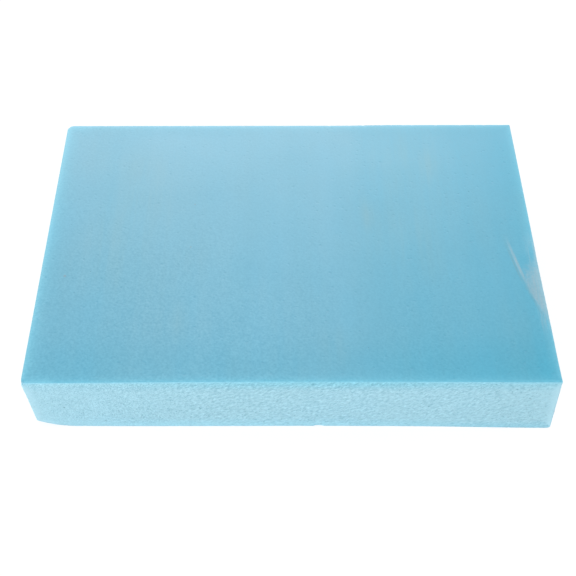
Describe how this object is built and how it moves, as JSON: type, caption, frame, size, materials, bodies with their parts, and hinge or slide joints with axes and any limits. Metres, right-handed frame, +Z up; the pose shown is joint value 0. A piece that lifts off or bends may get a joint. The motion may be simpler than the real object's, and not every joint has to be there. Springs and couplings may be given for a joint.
{
  "type": "foam block",
  "caption": "Rectangular offcut of rigid light-blue foam board with smooth skins, rough cut sides, a worn lower corner and a scraped top edge.",
  "frame": {"origin": "middle of the block's outline on the plane of the underside", "axes": "+X along the front cut towards the end that is cut square, +Y from the front cut to the back cut, +Z up through the thickness"},
  "size_m": [0.348, 0.256, 0.05],
  "materials": {
    "foam": "matte"
  },
  "bodies": {
    "root": {"foam_block": "foam"}
  },
  "joints": []
}
